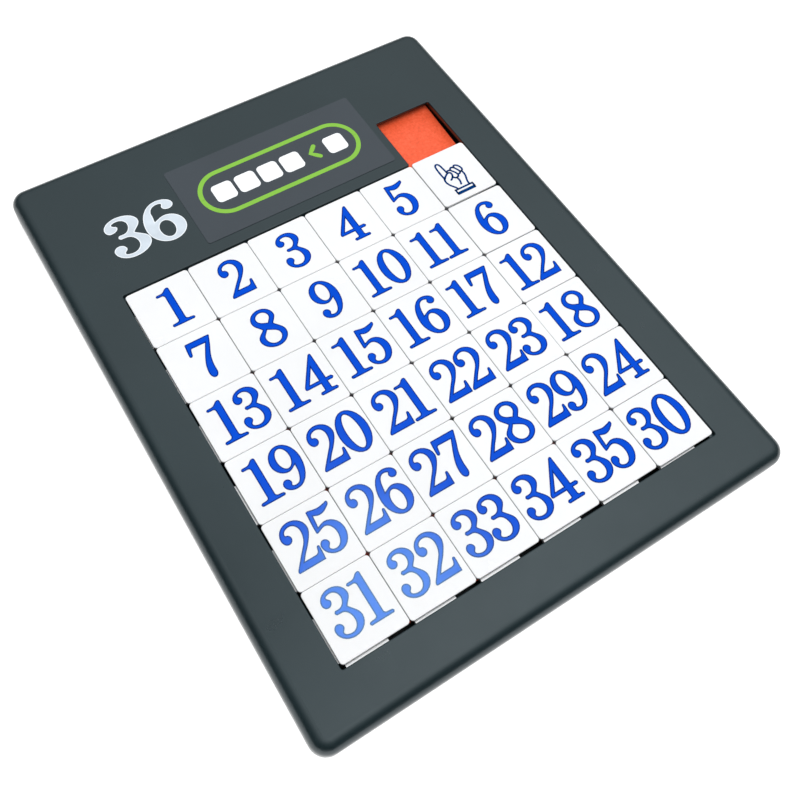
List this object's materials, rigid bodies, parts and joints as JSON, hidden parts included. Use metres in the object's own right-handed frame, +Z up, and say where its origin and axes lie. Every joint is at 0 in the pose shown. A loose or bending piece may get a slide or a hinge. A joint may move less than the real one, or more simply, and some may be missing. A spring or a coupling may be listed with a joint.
{
  "type": "sliding tile puzzle",
  "caption": "Flat sliding tile puzzle: square numbered tiles interlock in a dark case with a header label and one parking pocket beside it.",
  "frame": {"origin": "middle of the footprint, on the table plane under the back cover", "axes": "+X to the right of the numbers, +Y from the bottom row towards the header, +Z up out of the tile faces"},
  "size_m": [0.1362, 0.1694, 0.0083],
  "materials": {
    "case_plastic": "fine satin grain, dark slate grey",
    "back_plastic": "fine matt grain, dark slate grey",
    "floor_plastic": "matt orange, finely mottled",
    "label_film": "satin film, blue-grey",
    "tile_plastic": "smooth white, soft gloss",
    "numeral_ink": "printed blue ink",
    "line_ink": "printed dark blue ink",
    "white_ink": "printed off-white ink",
    "green_ink": "printed green ink"
  },
  "bodies": {
    "case": {"top_frame": "case_plastic", "back_cover": "back_plastic", "floor_lining": "floor_plastic", "header_label": "label_film"},
    "tile_01": {"tile_01": "tile_plastic"},
    "tile_07": {"tile_07": "tile_plastic"},
    "tile_13": {"tile_13": "tile_plastic"},
    "tile_19": {"tile_19": "tile_plastic"},
    "tile_25": {"tile_25": "tile_plastic"},
    "tile_31": {"tile_31": "tile_plastic"},
    "tile_02": {"tile_02": "tile_plastic"},
    "tile_08": {"tile_08": "tile_plastic"},
    "tile_14": {"tile_14": "tile_plastic"},
    "tile_20": {"tile_20": "tile_plastic"},
    "tile_26": {"tile_26": "tile_plastic"},
    "tile_32": {"tile_32": "tile_plastic"},
    "tile_03": {"tile_03": "tile_plastic"},
    "tile_09": {"tile_09": "tile_plastic"},
    "tile_15": {"tile_15": "tile_plastic"},
    "tile_21": {"tile_21": "tile_plastic"},
    "tile_27": {"tile_27": "tile_plastic"},
    "tile_33": {"tile_33": "tile_plastic"},
    "tile_04": {"tile_04": "tile_plastic"},
    "tile_10": {"tile_10": "tile_plastic"},
    "tile_16": {"tile_16": "tile_plastic"},
    "tile_22": {"tile_22": "tile_plastic"},
    "tile_28": {"tile_28": "tile_plastic"},
    "tile_34": {"tile_34": "tile_plastic"},
    "tile_05": {"tile_05": "tile_plastic"},
    "tile_11": {"tile_11": "tile_plastic"},
    "tile_17": {"tile_17": "tile_plastic"},
    "tile_23": {"tile_23": "tile_plastic"},
    "tile_29": {"tile_29": "tile_plastic"},
    "tile_35": {"tile_35": "tile_plastic"},
    "tile_hand": {"tile_hand": "tile_plastic"},
    "tile_06": {"tile_06": "tile_plastic"},
    "tile_12": {"tile_12": "tile_plastic"},
    "tile_18": {"tile_18": "tile_plastic"},
    "tile_24": {"tile_24": "tile_plastic"},
    "tile_30": {"tile_30": "tile_plastic"}
  },
  "joints": [
    {"name": "tile_01_slide", "type": "slide", "parent": "case", "child": "tile_01", "axis": [0, 1, 0], "range_m": [-0.0006, 0.00047]},
    {"name": "tile_07_slide", "type": "slide", "parent": "case", "child": "tile_07", "axis": [0, 1, 0], "range_m": [-0.0006, 0.00047]},
    {"name": "tile_13_slide", "type": "slide", "parent": "case", "child": "tile_13", "axis": [0, 1, 0], "range_m": [-0.0006, 0.00047]},
    {"name": "tile_19_slide", "type": "slide", "parent": "case", "child": "tile_19", "axis": [0, 1, 0], "range_m": [-0.0006, 0.00047]},
    {"name": "tile_25_slide", "type": "slide", "parent": "case", "child": "tile_25", "axis": [0, 1, 0], "range_m": [-0.0006, 0.00047]},
    {"name": "tile_31_slide", "type": "slide", "parent": "case", "child": "tile_31", "axis": [0, 1, 0], "range_m": [-0.0006, 0.00047]},
    {"name": "tile_02_slide", "type": "slide", "parent": "case", "child": "tile_02", "axis": [0, 1, 0], "range_m": [-0.00054, 0.00053]},
    {"name": "tile_08_slide", "type": "slide", "parent": "case", "child": "tile_08", "axis": [0, 1, 0], "range_m": [-0.00054, 0.00053]},
    {"name": "tile_14_slide", "type": "slide", "parent": "case", "child": "tile_14", "axis": [0, 1, 0], "range_m": [-0.00054, 0.00053]},
    {"name": "tile_20_slide", "type": "slide", "parent": "case", "child": "tile_20", "axis": [0, 1, 0], "range_m": [-0.00054, 0.00053]},
    {"name": "tile_26_slide", "type": "slide", "parent": "case", "child": "tile_26", "axis": [0, 1, 0], "range_m": [-0.00054, 0.00053]},
    {"name": "tile_32_slide", "type": "slide", "parent": "case", "child": "tile_32", "axis": [0, 1, 0], "range_m": [-0.00054, 0.00053]},
    {"name": "tile_03_slide", "type": "slide", "parent": "case", "child": "tile_03", "axis": [0, 1, 0], "range_m": [-0.00066, 0.00041]},
    {"name": "tile_09_slide", "type": "slide", "parent": "case", "child": "tile_09", "axis": [0, 1, 0], "range_m": [-0.00066, 0.00041]},
    {"name": "tile_15_slide", "type": "slide", "parent": "case", "child": "tile_15", "axis": [0, 1, 0], "range_m": [-0.00066, 0.00041]},
    {"name": "tile_21_slide", "type": "slide", "parent": "case", "child": "tile_21", "axis": [0, 1, 0], "range_m": [-0.00066, 0.00041]},
    {"name": "tile_27_slide", "type": "slide", "parent": "case", "child": "tile_27", "axis": [0, 1, 0], "range_m": [-0.00066, 0.00041]},
    {"name": "tile_33_slide", "type": "slide", "parent": "case", "child": "tile_33", "axis": [0, 1, 0], "range_m": [-0.00066, 0.00041]},
    {"name": "tile_04_slide", "type": "slide", "parent": "case", "child": "tile_04", "axis": [0, 1, 0], "range_m": [-0.00058, 0.00049]},
    {"name": "tile_10_slide", "type": "slide", "parent": "case", "child": "tile_10", "axis": [0, 1, 0], "range_m": [-0.00058, 0.00049]},
    {"name": "tile_16_slide", "type": "slide", "parent": "case", "child": "tile_16", "axis": [0, 1, 0], "range_m": [-0.00058, 0.00049]},
    {"name": "tile_22_slide", "type": "slide", "parent": "case", "child": "tile_22", "axis": [0, 1, 0], "range_m": [-0.00058, 0.00049]},
    {"name": "tile_28_slide", "type": "slide", "parent": "case", "child": "tile_28", "axis": [0, 1, 0], "range_m": [-0.00058, 0.00049]},
    {"name": "tile_34_slide", "type": "slide", "parent": "case", "child": "tile_34", "axis": [0, 1, 0], "range_m": [-0.00058, 0.00049]},
    {"name": "tile_05_slide", "type": "slide", "parent": "case", "child": "tile_05", "axis": [0, 1, 0], "range_m": [-0.00066, 0.00041]},
    {"name": "tile_11_slide", "type": "slide", "parent": "case", "child": "tile_11", "axis": [0, 1, 0], "range_m": [-0.00066, 0.00041]},
    {"name": "tile_17_slide", "type": "slide", "parent": "case", "child": "tile_17", "axis": [0, 1, 0], "range_m": [-0.00066, 0.00041]},
    {"name": "tile_23_slide", "type": "slide", "parent": "case", "child": "tile_23", "axis": [0, 1, 0], "range_m": [-0.00066, 0.00041]},
    {"name": "tile_29_slide", "type": "slide", "parent": "case", "child": "tile_29", "axis": [0, 1, 0], "range_m": [-0.00066, 0.00041]},
    {"name": "tile_35_slide", "type": "slide", "parent": "case", "child": "tile_35", "axis": [0, 1, 0], "range_m": [-0.00066, 0.00041]},
    {"name": "tile_hand_slide", "type": "slide", "parent": "case", "child": "tile_hand", "axis": [0, 1, 0], "range_m": [-0.00038, 0.01799]},
    {"name": "tile_06_slide", "type": "slide", "parent": "case", "child": "tile_06", "axis": [0, 1, 0], "range_m": [-0.00038, 0.01799]},
    {"name": "tile_12_slide", "type": "slide", "parent": "case", "child": "tile_12", "axis": [0, 1, 0], "range_m": [-0.00038, 0.01799]},
    {"name": "tile_18_slide", "type": "slide", "parent": "case", "child": "tile_18", "axis": [0, 1, 0], "range_m": [-0.00038, 0.01799]},
    {"name": "tile_24_slide", "type": "slide", "parent": "case", "child": "tile_24", "axis": [0, 1, 0], "range_m": [-0.00038, 0.01799]},
    {"name": "tile_30_slide", "type": "slide", "parent": "case", "child": "tile_30", "axis": [0, 1, 0], "range_m": [-0.00038, 0.01799]}
  ],
  "couplings": [
    {"joint": "tile_07_slide", "follows": "tile_01_slide", "ratio": 1},
    {"joint": "tile_13_slide", "follows": "tile_01_slide", "ratio": 1},
    {"joint": "tile_19_slide", "follows": "tile_01_slide", "ratio": 1},
    {"joint": "tile_25_slide", "follows": "tile_01_slide", "ratio": 1},
    {"joint": "tile_31_slide", "follows": "tile_01_slide", "ratio": 1},
    {"joint": "tile_08_slide", "follows": "tile_02_slide", "ratio": 1},
    {"joint": "tile_14_slide", "follows": "tile_02_slide", "ratio": 1},
    {"joint": "tile_20_slide", "follows": "tile_02_slide", "ratio": 1},
    {"joint": "tile_26_slide", "follows": "tile_02_slide", "ratio": 1},
    {"joint": "tile_32_slide", "follows": "tile_02_slide", "ratio": 1},
    {"joint": "tile_09_slide", "follows": "tile_03_slide", "ratio": 1},
    {"joint": "tile_15_slide", "follows": "tile_03_slide", "ratio": 1},
    {"joint": "tile_21_slide", "follows": "tile_03_slide", "ratio": 1},
    {"joint": "tile_27_slide", "follows": "tile_03_slide", "ratio": 1},
    {"joint": "tile_33_slide", "follows": "tile_03_slide", "ratio": 1},
    {"joint": "tile_10_slide", "follows": "tile_04_slide", "ratio": 1},
    {"joint": "tile_16_slide", "follows": "tile_04_slide", "ratio": 1},
    {"joint": "tile_22_slide", "follows": "tile_04_slide", "ratio": 1},
    {"joint": "tile_28_slide", "follows": "tile_04_slide", "ratio": 1},
    {"joint": "tile_34_slide", "follows": "tile_04_slide", "ratio": 1},
    {"joint": "tile_11_slide", "follows": "tile_05_slide", "ratio": 1},
    {"joint": "tile_17_slide", "follows": "tile_05_slide", "ratio": 1},
    {"joint": "tile_23_slide", "follows": "tile_05_slide", "ratio": 1},
    {"joint": "tile_29_slide", "follows": "tile_05_slide", "ratio": 1},
    {"joint": "tile_35_slide", "follows": "tile_05_slide", "ratio": 1},
    {"joint": "tile_06_slide", "follows": "tile_hand_slide", "ratio": 1},
    {"joint": "tile_12_slide", "follows": "tile_hand_slide", "ratio": 1},
    {"joint": "tile_18_slide", "follows": "tile_hand_slide", "ratio": 1},
    {"joint": "tile_24_slide", "follows": "tile_hand_slide", "ratio": 1},
    {"joint": "tile_30_slide", "follows": "tile_hand_slide", "ratio": 1}
  ]
}
